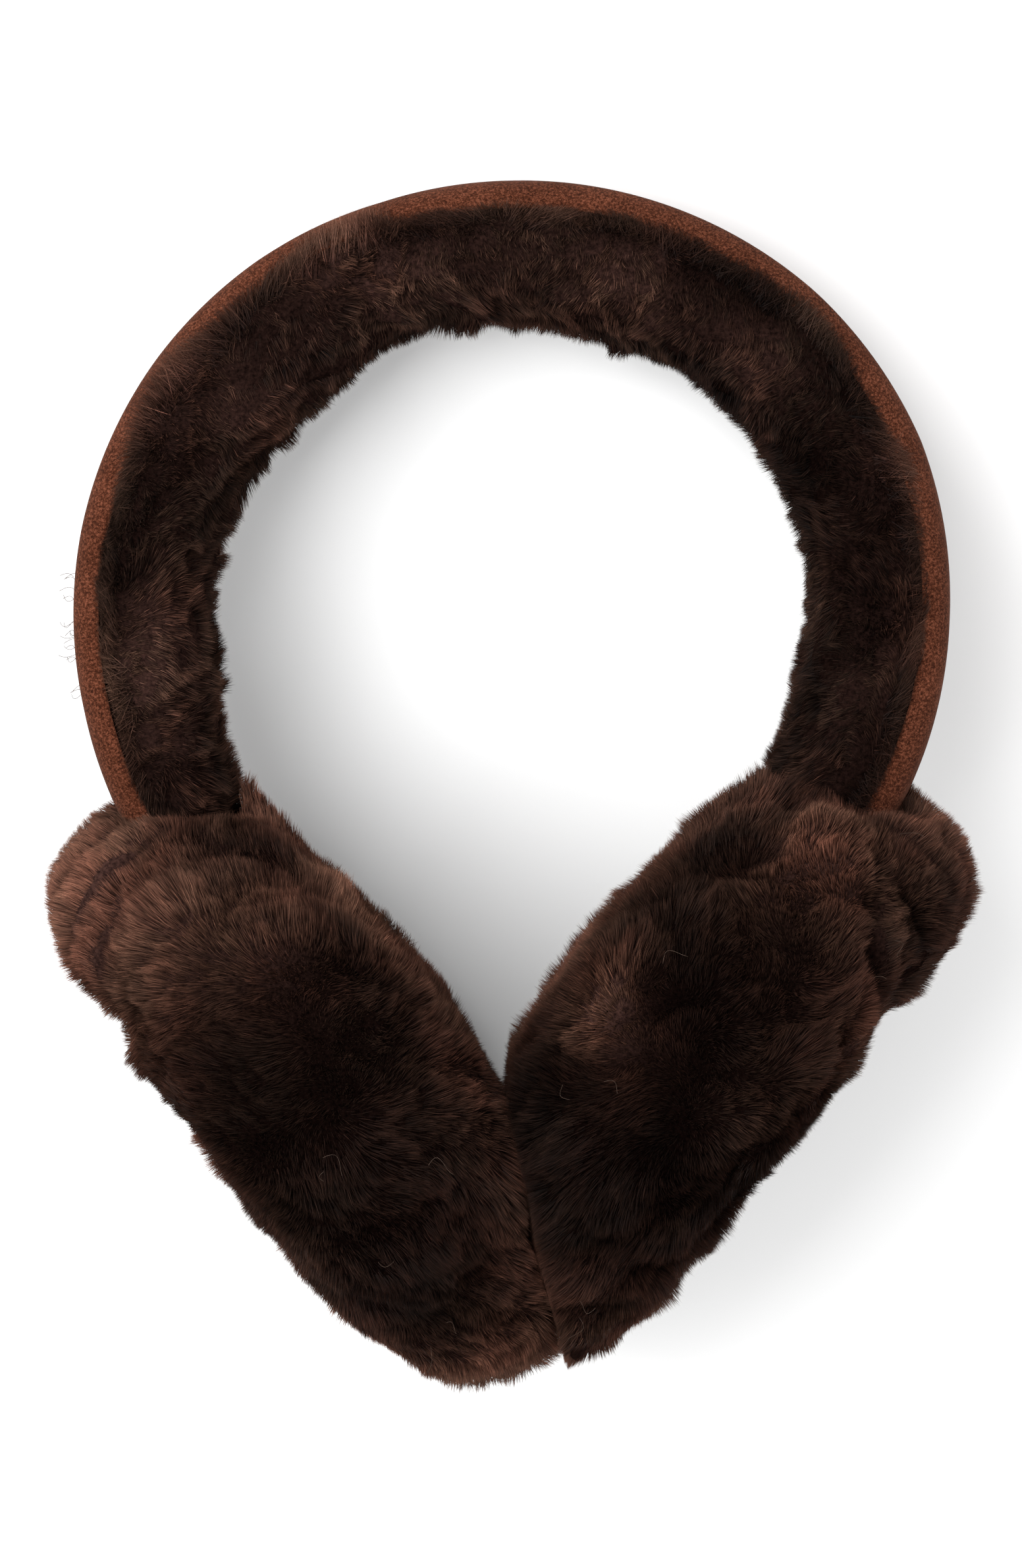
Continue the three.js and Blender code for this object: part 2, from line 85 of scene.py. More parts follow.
# The headband's pile: tip_out, root_out, tip_down, root_down. The first two are shares of half the swollen
# width, the last two are shares of the way from the suede's edges to the innermost tips.
PILE_SECTION = (
    (0.905, 0.80, -0.07, -0.01), (0.965, 0.80, 0.05, 0.03), (1.0, 0.78, 0.2, 0.09), (1.0, 0.74, 0.4, 0.16),
    (0.95, 0.66, 0.61, 0.22), (0.8, 0.52, 0.81, 0.28), (0.56, 0.36, 0.93, 0.32), (0.28, 0.18, 0.98, 0.34),
)
PILE_ROOT_DEPTH = 0.345  # root_down in the middle of the width
# name, side, lap, offset
PADS = (("left", -1, 7.9, 11.5), ("right", 1, 9.5, 8.2))
# along, front, across, size, depth
PAD_DENTS = (
    (-0.58, 0.0, -0.95, 0.2, 0.07), (-0.62, 0.66, 0.35, 0.17, 0.06),
    (0.1, 0.98, 0.1, 0.24, 0.05), (0.66, 0.62, -0.62, 0.15, 0.05),
)

# Fur, shorn to an even pile
PAD_PILE = 11.5  # from the skin to the tips, round a pad's rim
PAD_PILE_THROUGH = 9.0  # the same through its sides
EVEN_RELIEF = 0.3  # how far below the even surface the tips are where nothing moves them
UNDERFUR_DEPTH = 2.3  # from the tips down to the matted underfur
UNDERFUR_HEIGHT = 1.0  # the least above the floor
ROOTS_BELOW = 6.0  # from a pad's tips down to the points that give the strands their direction
STRAND_DEPTH = 3.9  # from the tips down to where the strands that show start
STRAND_WIDTH = 0.26  # at that start
ROOT_HEIGHT = 0.6  # the least above the floor
TIP_HEIGHT = 0.25
STRANDS = {"front": 120000, "back": 52000, "face": 52000, "band": 170000, "fringe": 34000}
PAD_STEPS, PAD_COLUMNS = 96, 230  # of the grids of a pad's tips and roots
# How far the strands lean sideways, and how much they draw together in tufts
PAD_LEAN, PAD_TUFTED = 1.35, 0.5
BAND_LEAN, BAND_TUFTED = 1.5, 0.85
# How far a pad's strands are combed, away from this place: along, front, across
COMBED, COMBED_FROM = 1.5, (8.0, 0.0, -3.0)
FRINGE_WIDTH = 0.2
FRINGE_BARED = 0.3  # the colour that the fringe starts with, from the root's (0) to the tip's (1)

# Single hairs
STRAYS_A_PAD, STRAY_WIDTH = 8, 0.036
FIBRE_TURNS = (-84.0, -86.5, -90.0, -92.0, -93.0, -94.5, -99.5)  # degrees from the crown
FIBRE_WIDTH = 0.08

# How far the fringe lies over the suede's edge: share of the turn from the crown, reach
FRINGE_REACH = (
    (-1.0, 0.0), (-0.82, 0.1), (-0.66, 1.2), (-0.5, 3.3), (-0.22, 3.2), (-0.08, 0.8),
    (0.08, 0.3), (0.28, 1.6), (0.5, 2.1), (0.68, 0.7), (0.76, 0.0), (1.0, 0.0),
)
# Where the pile reaches further in (+) or less far (-): share of the turn from the crown, reach
PILE_MORE = (
    (-1.0, -1.0), (-0.94, -1.0), (-0.83, 0.8), (-0.72, 0.5), (-0.62, -0.6), (-0.53, -1.7), (-0.45, -0.6),
    (-0.35, 1.1), (-0.26, 0.9), (-0.15, 0.0), (0.0, 0.5), (0.2, 0.6), (0.36, -0.3), (0.54, 0.9), (0.7, 1.4),
    (0.86, 1.4), (0.98, -0.2), (1.0, -0.2),
)

# Where a pad's fur starts in front of the headband: at the suede, and at the innermost tips, degrees from
# the crown
PAD_STARTS = (115.0, 126.0)
BAND_RADII = (70.5, 47.5)  # of the suede's edges and of the innermost tips, near the pads
BAND_CUT = 4.5  # how deep a pad's fur is cut away before those places

# Puckers that run across a pad's rim: degrees from the upper end towards the front, depth, half width, and
# how far along the rim's width they go (from, to)
PUCKERS = {
    "left": (
        (12, 1.4, 1.4, -30, 14), (23, 2.4, 1.5, -30, 9), (33, 2.5, 1.5, -30, 5), (43, 2.2, 1.5, -30, 0),
        (54, 1.6, 1.5, -30, -8), (68, 1.0, 1.5, -30, -12), (84, 0.8, 1.6, -30, -15),
        (103, 0.7, 1.6, -30, -15), (124, 0.9, 1.6, -30, -14), (138, 0.8, 1.5, -30, -13),
        (150, 1.1, 1.6, -30, -8), (166, 1.0, 1.5, -30, 4), (-9, 1.5, 1.6, -30, 8),
        (-24, 1.6, 1.6, -30, 4), (-40, 1.2, 1.6, -30, 0), (-58, 1.0, 1.6, -30, -6),
        (-84, 0.9, 1.8, -30, -10), (-104, 0.8, 1.6, -30, -12), (-121, 1.0, 1.6, -30, -8),
        (-152, 1.1, 1.6, -30, 2),
    ),
    "right": (
        (10, 1.5, 1.5, -30, 10), (20, 2.1, 1.5, -30, 8), (30, 2.0, 1.5, -30, 2), (41, 2.0, 1.6, -30, -2),
        (54, 1.4, 1.6, -30, -8), (68, 0.9, 1.5, -30, -13), (86, 0.8, 1.5, -30, -15),
        (107, 0.7, 1.6, -30, -14), (129, 0.9, 1.6, -30, -12), (149, 1.1, 1.6, -30, -8),
        (168, 1.0, 1.5, -30, 4), (-12, 1.4, 1.6, -30, 8), (-31, 1.4, 1.6, -30, 4),
        (-48, 1.0, 1.6, -30, -2), (-66, 1.0, 1.6, -30, -6), (-92, 0.9, 1.8, -30, -10),
        (-112, 0.8, 1.6, -30, -12), (-129, 1.0, 1.6, -30, -8), (-150, 1.0, 1.6, -30, 2),
    ),
}
# Where a pad's fur swells (+) or sinks in (-) over its whole width: along, across, size, how far
SWELLS = {
    "left": (
        (-53, -14, 12, 1.2), (-33, -23, 6.5, -5.0), (-20, -23, 5, -0.8), (-8, -24, 6, -0.6),
        (31, -24, 14, 2.1), (54, -10, 11, 1.0), (-35, 22, 10, -3.6), (-15, 24, 11, -1.2),
        (7, 24, 8, -0.8),
    ),
    "right": (
        (-53, -14, 12, 1.7), (-29, -23, 9, -3.9), (-15, -23, 9, -2.6), (5, -24, 8, -1.8),
        (14, -25, 9, -1.7), (28, -25, 8, -2.2), (41, -22, 7, 1.8), (49, -18, 10, 2.6), (-11, 24, 9, 0.8),
        (3, 25, 13, 1.3), (-41, 20, 5, -1.5),
    ),
}
# The y in the hoop's frame above which the pads' fur parts, and how fast, and below which it closes up
PARTED_ABOVE = -76.5
PARTED_SLOPE = 0.3
CLOSED_BELOW = -105.0
# How near to the plane of contact a pad's tips may come; below 0 they reach past it
LEAST_GAPS = {"left": -0.45, "right": 0.03}

# Partings in the fur of a pad's front: depth, half width, and points (along, across)
PARTINGS = {
    "left": (
        (1.9, 1.7, ((-46, 9), (-39.5, 10), (-38.5, 12.5), (-34.5, 16), (-29.5, 18))),
        (1.3, 1.6, ((-34, 6), (-33, 9), (-31, 13.5), (-27, 16), (-22.5, 17))),
        (1.0, 1.8, ((-19, 15), (-10, 17), (4, 18.5), (17, 18.7), (34, 17))),
        (1.8, 1.7, ((24, -22), (32, -18), (39, -13), (46, -7), (51, -1))),
    ),
    "right": (
        (2.4, 2.2, ((-42, 15), (-35, 15), (-31, 18), (-27, 20))),
        (2.0, 1.8, ((-34, 12), (-30, 15), (-25, 18))),
        (2.0, 1.6, ((-40, -4), (-35, -8), (-32, -12), (-27, -19))),
        (1.0, 1.8, ((-24, 18), (-10, 21), (4, 21.8), (18, 21), (34, 18))),
        (1.6, 1.6, ((36, -18), (42, -13), (48, -9), (53, -3))),
    ),
}
# Soft patches of a pad's fur, partly its own colour and partly painted light and shade: along, front, across,
# size, and how much paler (+) or darker (-), in stops
TONE_AND_LIGHT_PATCHES = {
    "left": (
        (-48, 32, -5, 14, 1.7), (-37, 41, 2, 9, 0.7), (-34, 44, -8, 12, 0.9), (-26, 49, -12, 11, 1.1),
        (-20, 53, 6, 12, 1.3), (-30, 44, 13, 7, 0.9), (6, 57, -4, 22, -0.3), (32, 47, -8, 16, -1.9),
        (52, 24, -9, 12, 0.3), (-39.5, 40, 10, 4, -1.2), (-18, 34, 23, 13, 1.9), (0, 44, 21, 11, 1.3),
        (13, 50, 17, 10, 1.1), (-32, 26, -22, 15, 1.2),
    ),
    "right": (
        (-34, 44, 5, 13, 2.3), (-31, 36, 19, 8, -0.3), (-9, 55, 11, 10, -1.7), (3, 50, 18, 11, 3.7),
        (26, 50, 4, 26, -1.1), (24, 48, 15, 12, -0.8), (28, 47, -11, 12, -0.4), (-18, 50, -14, 12, 0.5),
        (-29, 42, -19, 8, 1.4), (-19, 40, -21, 10, 1.3), (52, 20, -10, 16, -0.8), (53, 4, -18, 9, 1.2),
        (-47, 29, -14, 12, -1.1),
    ),
}

# The photo, and the place of the hoop's centre in it, in pixels
FRAME_WIDTH = 1552
FRAME_HEIGHT = 2380
HOOP_PIXEL = (780, 944)
MM_PER_PIXEL = 0.108
CAMERA_DISTANCE = 1200.0


# Shapes in the hoop's frame, in millimetres, as arrays of points

def smoothstep(low, high, x):
    """Rises from 0 at low to 1 at high, or falls from 1 to 0 where low is the greater."""
    t = np.clip((x - low) / (high - low), 0.0, 1.0)
    return t * t * (3.0 - 2.0 * t)


def unit(v):
    return v / np.maximum(np.linalg.norm(v, axis=-1, keepdims=True), 1e-9)


def waves(points, size, seed, count=14):
    """Smooth noise, three values of about -1 to 1 a point, that varies over about size millimetres."""
    rng = np.random.default_rng(seed)
    ways = unit(rng.normal(size=(count, 3))) * rng.uniform(0.6, 1.4, (count, 1)) * 2 * math.pi / size / 2
    gains = rng.normal(size=(count, 3)) * math.sqrt(2.0 / count)
    return np.sin(points @ ways.T + rng.uniform(0, 2 * math.pi, count)) @ gains


def tufts(points, size, seed, count=18):
    """Soft tufts about size millimetres wide: how far up one each point is, and the way to its top."""
    rng = np.random.default_rng(seed)
    ways = unit(rng.normal(size=(count, 3))) * rng.uniform(0.7, 1.5, (count, 1)) * 2 * math.pi / size
    phase = points @ ways.T + rng.uniform(0, 2 * math.pi, count)
    gain = math.sqrt(2.0 / count)
    return np.sin(phase).sum(1) * gain, np.cos(phase) @ ways * gain * size / (2 * math.pi)


STATIONS = np.array(BAND_STATIONS)
END_TURN = BAND_TURN + math.degrees(SOCKET_DEPTH / (HOOP_RADIUS - BAND_DEPTH / 2))


def at_station(turn, column):
    return np.interp(turn / BAND_TURN, STATIONS[:, 0], STATIONS[:, column])


def shown(turn):
    return 1.0 - smoothstep(BAND_TURN, END_TURN, np.abs(turn))


def back_radius(turn):
    return HOOP_RADIUS * at_station(turn, 1)


def band_depth(turn):
    s = shown(turn)
    return HIDDEN_DEPTH * (1 - s) + BAND_DEPTH * at_station(turn, 2) * s


def on_hoop(turn, radius, front):
    a = np.radians(turn)
    return np.stack([radius * np.sin(a), radius * np.cos(a), front + 0 * a], axis=-1)


def turn_and_radius(points):
    """Degrees from the crown, and distances from the hoop's axis."""
    return np.degrees(np.arctan2(points[:, 0], points[:, 1])), np.hypot(points[:, 0], points[:, 1])


def in_band(points, margin):
    """Which points lie inside the space that the headband fills, made smaller by a margin."""
    turn, radius = turn_and_radius(points)
    back = back_radius(turn)
    half = BAND_WIDTH / 2 + PILE_OVERHANG * shown(turn)
    return (
        (np.abs(turn) < END_TURN) & (radius < back - margin) & (radius > back - band_depth(turn) + margin)
        & (np.abs(points[:, 2]) < half - margin)
    )


def pad_height(radius):
    """Half the thickness of an even pad at this distance from its axis."""
    share = np.minimum(radius / PAD_RADIUS, 1.0)
    return PAD_HALF * (1.0 - share ** ACROSS_POWER) ** (1 / THROUGH_POWER)


class Pad:
    """One ear pad: its frame in the hoop's frame, and the plane where it presses on the other pad."""

    def __init__(self, name, side, lap, offset):
        self.name, self.side = name, side
        slope = math.radians(PAD_SLOPE)
        self.along = np.array([-side * math.cos(slope), -math.sin(slope), 0.0])
        self.ear = np.array([-side * math.sin(slope), math.cos(slope), 0.0])
        self.back = np.cross(self.ear, self.along)
        place = on_hoop(np.array(side * BAND_TURN), HOOP_RADIUS - BAND_DEPTH / 2, 0.0)
        self.centre = place + self.along * (PAD_RADIUS - lap) - self.ear * offset
        self.axes = np.stack([self.along, self.back, self.ear])

    def meet(self, middle):
        """Takes the plane of contact that goes through this point."""
        slope = math.radians(CONTACT_SLOPE)
        self.normal = self.side * np.array([math.cos(slope), math.sin(slope), 0.0])
        self.through = middle + self.normal * CLEARANCE / 2
        self.n = self.axes @ self.normal
        self.constant = float(self.normal @ (self.centre - self.through))

    def to_hoop(self, points):
        return points @ self.axes + self.centre

    def to_pad(self, points):
        return (points - self.centre) @ self.axes.T

    def reach(self, ways):
        """How far out the pad reaches in these directions, before the plane of contact."""
        slope = self.n[0] * ways[:, 0] + self.n[1] * ways[:, 1]

        def room(radius):
            return -(self.constant + slope * radius) / self.n[2] + TIP_SHARE * pad_height(radius)

        low = np.full(len(ways), SQUEEZED_FROM * PAD_RADIUS)
        high = np.full(len(ways), PAD_RADIUS)
        for _ in range(20):
            middle = (low + high) / 2
            ok = room(middle) > 0
            low, high = np.where(ok, middle, low), np.where(ok, high, middle)
        return np.where(room(np.full(len(ways), PAD_RADIUS)) > 0, PAD_RADIUS, low)

    def shape(self, points):
        """Bends points of an even pad, in the pad's frame, as the CAD model does."""
        out = points.copy()
        for along, front, across, size, depth in PAD_DENTS:
            centre = np.array([along * PAD_RADIUS, front * PAD_RADIUS * self.side, across * PAD_HALF])
            far = np.linalg.norm(points - centre, axis=1) / (size * 2 * PAD_HALF)
            out -= np.exp(-far ** 2)[:, None] * unit(centre) * depth * 2 * PAD_HALF
        radius = np.hypot(out[:, 0], out[:, 1])
        ways = out[:, :2] / np.maximum(radius, 1e-6)[:, None]
        start = SQUEEZED_FROM * PAD_RADIUS
        squeezed = start + (radius - start) * (self.reach(ways) - start) / (PAD_RADIUS - start)
        out[:, :2] = ways * np.where(radius > start, squeezed, radius)[:, None]
        full = 1 - END_TAPER * out[:, 0] / PAD_RADIUS
        top = pad_height(radius) * full
        free = -(self.constant + self.n[0] * out[:, 0] + self.n[1] * out[:, 1]) / self.n[2]
        kept = -PRESSED_FROM * PAD_HALF
        share = (np.minimum(top, free) - kept) / (top - kept)
        z = out[:, 2] * full
        out[:, 2] = np.where(z > kept, np.minimum(kept + (z - kept) * share, free), z)
        return out


pads = [Pad(*row) for row in PADS]
between = (pads[0].centre + pads[1].centre) / 2 + np.array([CONTACT_SHIFT, 0.0, 0.0])
for pad in pads:
    pad.meet(between)

# The surface that the earmuffs lie on, as a plane in the hoop's frame
FLOOR_NORMAL = np.array([0.0, -math.sin(HOOP_TILT), math.cos(HOOP_TILT)])


def height_above_floor(points):
    return points @ FLOOR_NORMAL + HOOP_CENTRE[2]


def above_floor(points, least=TIP_HEIGHT):
    """Points that would be under the surface, moved up onto it."""
    low = np.minimum(height_above_floor(points) - least, 0.0)
    return points - low[:, None] * FLOOR_NORMAL


def pad_profile(radius, half, steps):
    """Even steps along half of a pad's section, from the middle of its outer side over the rim to the
    middle of its ear side, as distances from the axis and heights."""
    a = np.linspace(-math.pi / 2, math.pi / 2, 4001)
    r = radius * np.abs(np.cos(a)) ** (2 / ACROSS_POWER)
    z = half * np.sign(a) * np.abs(np.sin(a)) ** (2 / THROUGH_POWER)
    run = np.concatenate([[0.0], np.cumsum(np.hypot(np.diff(r), np.diff(z)))])
    even = np.linspace(0, run[-1], steps + 1)
    r, z = np.interp(even, run, r), np.interp(even, run, z)
    r[0] = r[-1] = 0.0
    return r, z


def turned(r, z, columns):
    """A profile turned round its axis, as rings of points."""
    a = np.linspace(0, 2 * math.pi, columns, endpoint=False)
    x, y = np.outer(r, np.cos(a)), np.outer(r, np.sin(a))
    return np.stack([x, y, np.outer(z, np.ones(columns))], axis=-1)


# Meshes

def to_row_frame(points):
    """Points of the hoop's frame in the CAD model's frame, in metres."""
    c, s = math.cos(HOOP_TILT), math.sin(HOOP_TILT)
    turn = np.array([[1, 0, 0], [0, c, s], [0, -s, c]])
    return (points @ turn.T + np.array(HOOP_CENTRE)) * MM


def mesh_object(name, points, corners, sizes, material, attributes, uv=None):
    """A mesh from points in the hoop's frame, the corners of its faces in turn, and each face's size, with
    numbers for its points and a place on the UV layer for each corner."""
    mesh = bpy.data.meshes.new(name)
    mesh.vertices.add(len(points))
    mesh.vertices.foreach_set("co", to_row_frame(points).astype(np.float32).ravel())
    mesh.loops.add(len(corners))
    mesh.loops.foreach_set("vertex_index", corners.astype(np.int32))
    mesh.polygons.add(len(sizes))
    starts = np.concatenate([[0], np.cumsum(sizes)[:-1]])
    mesh.polygons.foreach_set("loop_start", starts.astype(np.int32))
    mesh.polygons.foreach_set("loop_total", sizes.astype(np.int32))
    mesh.polygons.foreach_set("use_smooth", np.ones(len(sizes), dtype=bool))
    for key, values in attributes.items():
        mesh.attributes.new(key, "FLOAT", "POINT").data.foreach_set("value", values.astype(np.float32))
    if uv is not None:
        layer = mesh.uv_layers.new(name="OFBake")
        layer.data.foreach_set("uv", uv.astype(np.float32).ravel())
    mesh.update()
    mesh.validate()
    mesh.materials.append(material)
    obj = bpy.data.objects.new(name, mesh)
    bpy.context.collection.objects.link(obj)
    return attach(obj, "root")


def grid_mesh(name, grid, material, tone_and_shade=None):
    """A closed body through rings of points, its ends closed round their middles."""
    rows, around = grid.shape[:2]
    points = np.concatenate([grid.reshape(-1, 3), grid[0].mean(0)[None], grid[-1].mean(0)[None]])
    i, j = np.meshgrid(np.arange(rows - 1), np.arange(around), indexing="ij")
    k = (j + 1) % around
    sides = np.stack([i * around + j, i * around + k, (i + 1) * around + k, (i + 1) * around + j], -1)
    j = np.arange(around)
    k = (j + 1) % around
    last = (rows - 1) * around
    first_fan = np.stack([np.full(around, rows * around), k, j], -1)
    last_fan = np.stack([np.full(around, rows * around + 1), last + j, last + k], -1)
    corners = np.concatenate([sides.ravel(), first_fan.ravel(), last_fan.ravel()])
    sizes = np.concatenate([np.full(sides.size // 4, 4), np.full(2 * around, 3)])
    # the tone attribute: each point's own tone together with its painted light and shade
    tone_and_shade_values = {} if tone_and_shade is None else {"tone_and_shade": np.concatenate([tone_and_shade.ravel(), [tone_and_shade.min(), tone_and_shade.min()]])}
    return mesh_object(name, points, corners, sizes, material, tone_and_shade_values)


def scatter_on(tips, roots, count, rng, weight=None):
    """Random pairs of a tip and a root on two grids that match, even over the grid of tips."""
    def triangles(grid):
        a, b = grid[:-1, :-1].reshape(-1, 3), grid[:-1, 1:].reshape(-1, 3)
        c, d = grid[1:, :-1].reshape(-1, 3), grid[1:, 1:].reshape(-1, 3)
        return np.concatenate([np.stack([a, b, d], 1), np.stack([a, d, c], 1)])

    t, r = triangles(tips), triangles(roots)
    area = np.linalg.norm(np.cross(t[:, 1] - t[:, 0], t[:, 2] - t[:, 0]), axis=1)
    if weight is not None:
        area = area * weight(t.mean(1))
    pick = rng.choice(len(t), size=count, p=area / area.sum())
    u, v = rng.random(count), rng.random(count)
    over = u + v > 1
    u, v = np.where(over, 1 - u, u), np.where(over, 1 - v, v)
    share = np.stack([1 - u - v, u, v], -1)[:, :, None]
    return (t[pick] * share).sum(1), (r[pick] * share).sum(1)


def strands_mesh(name, roots, tips, width, material, rng, tone_and_shade, bared=0.0):
    """Fur as one mesh: a flat strand from each root, tapered to its tip. bared is how pale its root is."""
    count = len(roots)
    across = unit(np.cross(tips - roots, rng.normal(size=(count, 3)))) * width[:, None] / 2
    points = np.stack([roots - across, roots + across, tips], 1)
    side = math.ceil(math.sqrt(count))
    cell = np.stack([np.arange(count) % side, np.arange(count) // side], -1)[:, None] / side
    uv = cell + np.array([[0.1, 0.1], [0.9, 0.1], [0.5, 0.9]]) / side
    attributes = {"along": np.tile([bared, bared, 1.0], count), "tone_and_shade": np.repeat(tone_and_shade, 3)}
    corners = np.arange(3 * count)
    return mesh_object(name, points.reshape(-1, 3), corners, np.full(count, 3), material, attributes, uv)


# Materials

def new_material(name):
    material = bpy.data.materials.new(name)
    material.use_nodes = True
    tree = material.node_tree
    return material, tree.nodes, tree.links, tree.nodes["Principled BSDF"]


def ramp(nodes, stops):
    """Colours that follow a value: pairs of its place from 0 to 1 and the colour there."""
    node = nodes.new("ShaderNodeValToRGB")
    elements = node.color_ramp.elements
    while len(elements) < len(stops):
        elements.new(0.5)
    for element, (place, colour) in zip(elements, stops):
        element.position = place
        element.color = (*colour, 1.0)
    return node


def noise(nodes, links, coordinates, scale, detail=3.0, roughness=0.55):
    node = nodes.new("ShaderNodeTexNoise")
    node.inputs["Scale"].default_value = scale
    node.inputs["Detail"].default_value = detail
    node.inputs["Roughness"].default_value = roughness
    links.new(coordinates, node.inputs["Vector"])
    return node


def mix_colour(nodes, links, kind, factor, a, b):
    node = nodes.new("ShaderNodeMix")
    node.data_type = "RGBA"
    node.blend_type = kind
    for socket, value in ((node.inputs[0], factor), (node.inputs[6], a), (node.inputs[7], b)):
        if isinstance(value, bpy.types.NodeSocket):
            links.new(value, socket)
        elif isinstance(value, tuple):
            socket.default_value = (*value, 1.0)
        else:
            socket.default_value = value
    return node.outputs[2]


def scaled(nodes, links, colour, attribute):
    """A colour made paler or darker by an attribute of the mesh."""
    tone_and_shade = nodes.new("ShaderNodeAttribute")
    tone_and_shade.attribute_name = attribute
    node = nodes.new("ShaderNodeVectorMath")
    node.operation = "SCALE"
    links.new(colour, node.inputs[0])
    links.new(tone_and_shade.outputs["Fac"], node.inputs["Scale"])
    return node.outputs[0]


def strand_material(name, root, body, tip):
    """Fur: nearly black at the roots and paler at the tips, partly the hair's own colour and partly painted
    shade deep in the pile and painted light through the tips, each strand in its own tone and painted shade.
    """
    material, nodes, links, shader = new_material(name)
    along = nodes.new("ShaderNodeAttribute")
    along.attribute_name = "along"
    place = nodes.new("ShaderNodeTexCoord").outputs["Object"]
    colours = ramp(nodes, [(0.0, root), (0.5, body), (1.0, tip)])
    links.new(along.outputs["Fac"], colours.inputs["Fac"])
    warmth = ramp(nodes, [(0.38, (1.08, 0.95, 0.9)), (0.62, (0.98, 1.02, 0.97))])
    links.new(noise(nodes, links, place, 70.0, 2.0).outputs["Fac"], warmth.inputs["Fac"])
    warmed = mix_colour(nodes, links, "MULTIPLY", 1.0, colours.outputs["Color"], warmth.outputs["Color"])
    links.new(scaled(nodes, links, warmed, "tone_and_shade"), shader.inputs["Base Color"])
    shader.inputs["Roughness"].default_value = 0.7
    shader.inputs["Specular IOR Level"].default_value = 0.08
    return material


def matted_material(name, dark, light, toned):
    """Matted underfur, or a single hair. toned is whether its mesh says how pale it is, painted shade
    included.
    """
    material, nodes, links, shader = new_material(name)
    place = nodes.new("ShaderNodeTexCoord").outputs["Object"]
    fine = noise(nodes, links, place, 1400.0, 4.0, 0.7)
    colours = ramp(nodes, [(0.35, dark), (0.7, light)])
    links.new(fine.outputs["Fac"], colours.inputs["Fac"])
    colour = colours.outputs["Color"]
    links.new(scaled(nodes, links, colour, "tone_and_shade") if toned else colour, shader.inputs["Base Color"])
    bump = nodes.new("ShaderNodeBump")
    bump.inputs["Strength"].default_value = 0.6
    bump.inputs["Distance"].default_value = 0.0006
    links.new(fine.outputs["Fac"], bump.inputs["Height"])
    links.new(bump.outputs["Normal"], shader.inputs["Normal"])
    shader.inputs["Roughness"].default_value = 1.0
    shader.inputs["Specular IOR Level"].default_value = 0.0
    return material


def suede_material():
    """Napped suede: rust brown, speckled, with brushed patches."""
    material, nodes, links, shader = new_material("suede")
    place = nodes.new("ShaderNodeTexCoord").outputs["Object"]
    nap = noise(nodes, links, place, 2300.0, 4.0, 0.85)
    brushed = noise(nodes, links, place, 130.0, 3.0)
    dark, middle, light = (0.02, 0.0055, 0.003), (0.062, 0.018, 0.0085), (0.17, 0.055, 0.03)
    base = ramp(nodes, [(0.38, dark), (0.5, middle), (0.62, light)])
    links.new(nap.outputs["Fac"], base.inputs["Fac"])
    patch = ramp(nodes, [(0.3, (0.78, 0.76, 0.74)), (0.7, (1.12, 1.14, 1.16))])
    links.new(brushed.outputs["Fac"], patch.inputs["Fac"])
    colour = mix_colour(nodes, links, "MULTIPLY", 1.0, base.outputs["Color"], patch.outputs["Color"])
    links.new(colour, shader.inputs["Base Color"])
    shader.inputs["Roughness"].default_value = 0.95
    shader.inputs["Specular IOR Level"].default_value = 0.03
    shader.inputs["Sheen Weight"].default_value = 0.04
    shader.inputs["Sheen Tint"].default_value = (0.9, 0.5, 0.35, 1.0)
    bump = nodes.new("ShaderNodeBump")
    bump.inputs["Strength"].default_value = 0.7
    bump.inputs["Distance"].default_value = 0.0003
    links.new(nap.outputs["Fac"], bump.inputs["Height"])
    links.new(bump.outputs["Normal"], shader.inputs["Normal"])
    return material


# root colours partly painted shade deep in the pile; tip colours partly painted light through the tips
pad_fur = strand_material(
    "pad_fur", root=(0.005, 0.003, 0.0026), body=(0.05, 0.0222, 0.0155), tip=(0.145, 0.0665, 0.045)
)
band_fur = strand_material(
    "headband_fur", root=(0.0043, 0.0022, 0.0018), body=(0.024, 0.011, 0.0082), tip=(0.085, 0.042, 0.029)
)
# the underfur's near-black colour is partly painted shade in the gaps between the strands
shaded_underfur = matted_material("shaded_underfur", dark=(0.008, 0.004, 0.0034), light=(0.04, 0.019, 0.015), toned=True)
suede = suede_material()
stray = matted_material("stray_hair", dark=(0.05, 0.034, 0.026), light=(0.13, 0.09, 0.07), toned=False)


# Fur

def ripple(points, size, seed):
    """Smooth noise, one value of about -1 to 1 a point."""
    return waves(points, size, seed)[:, 0]


def near_line(points, line):
    """Distances of flat points from a line through several points."""
    least = np.full(len(points), 1e9)
    for a, b in zip(line[:-1], line[1:]):
        a, b = np.array(a, float), np.array(b, float)
        t = np.clip(((points - a) @ (b - a)) / ((b - a) @ (b - a)), 0, 1)
        least = np.minimum(least, np.linalg.norm(points - a - t[:, None] * (b - a), axis=1))
    return least


def cut_for_band(points):
    """How deep a pad's fur is cut away where it would cover the front and back of the headband."""
    turn, radius = turn_and_radius(points)
    suede_radius, inner_radius = BAND_RADII
    inner = np.clip((suede_radius - radius) / BAND_DEPTH, 0, 1)
    start = PAD_STARTS[0] + (PAD_STARTS[1] - PAD_STARTS[0]) * inner + ripple(points, 9.0, seed=55) * 0.8
    before = smoothstep(start + 1.5, start - 3.0, np.abs(turn))
    beside = smoothstep(inner_radius, inner_radius + 5, radius)
    beside *= smoothstep(suede_radius + 5, suede_radius, radius)
    return BAND_CUT * before * beside * smoothstep(8, 14, np.abs(points[:, 2]))


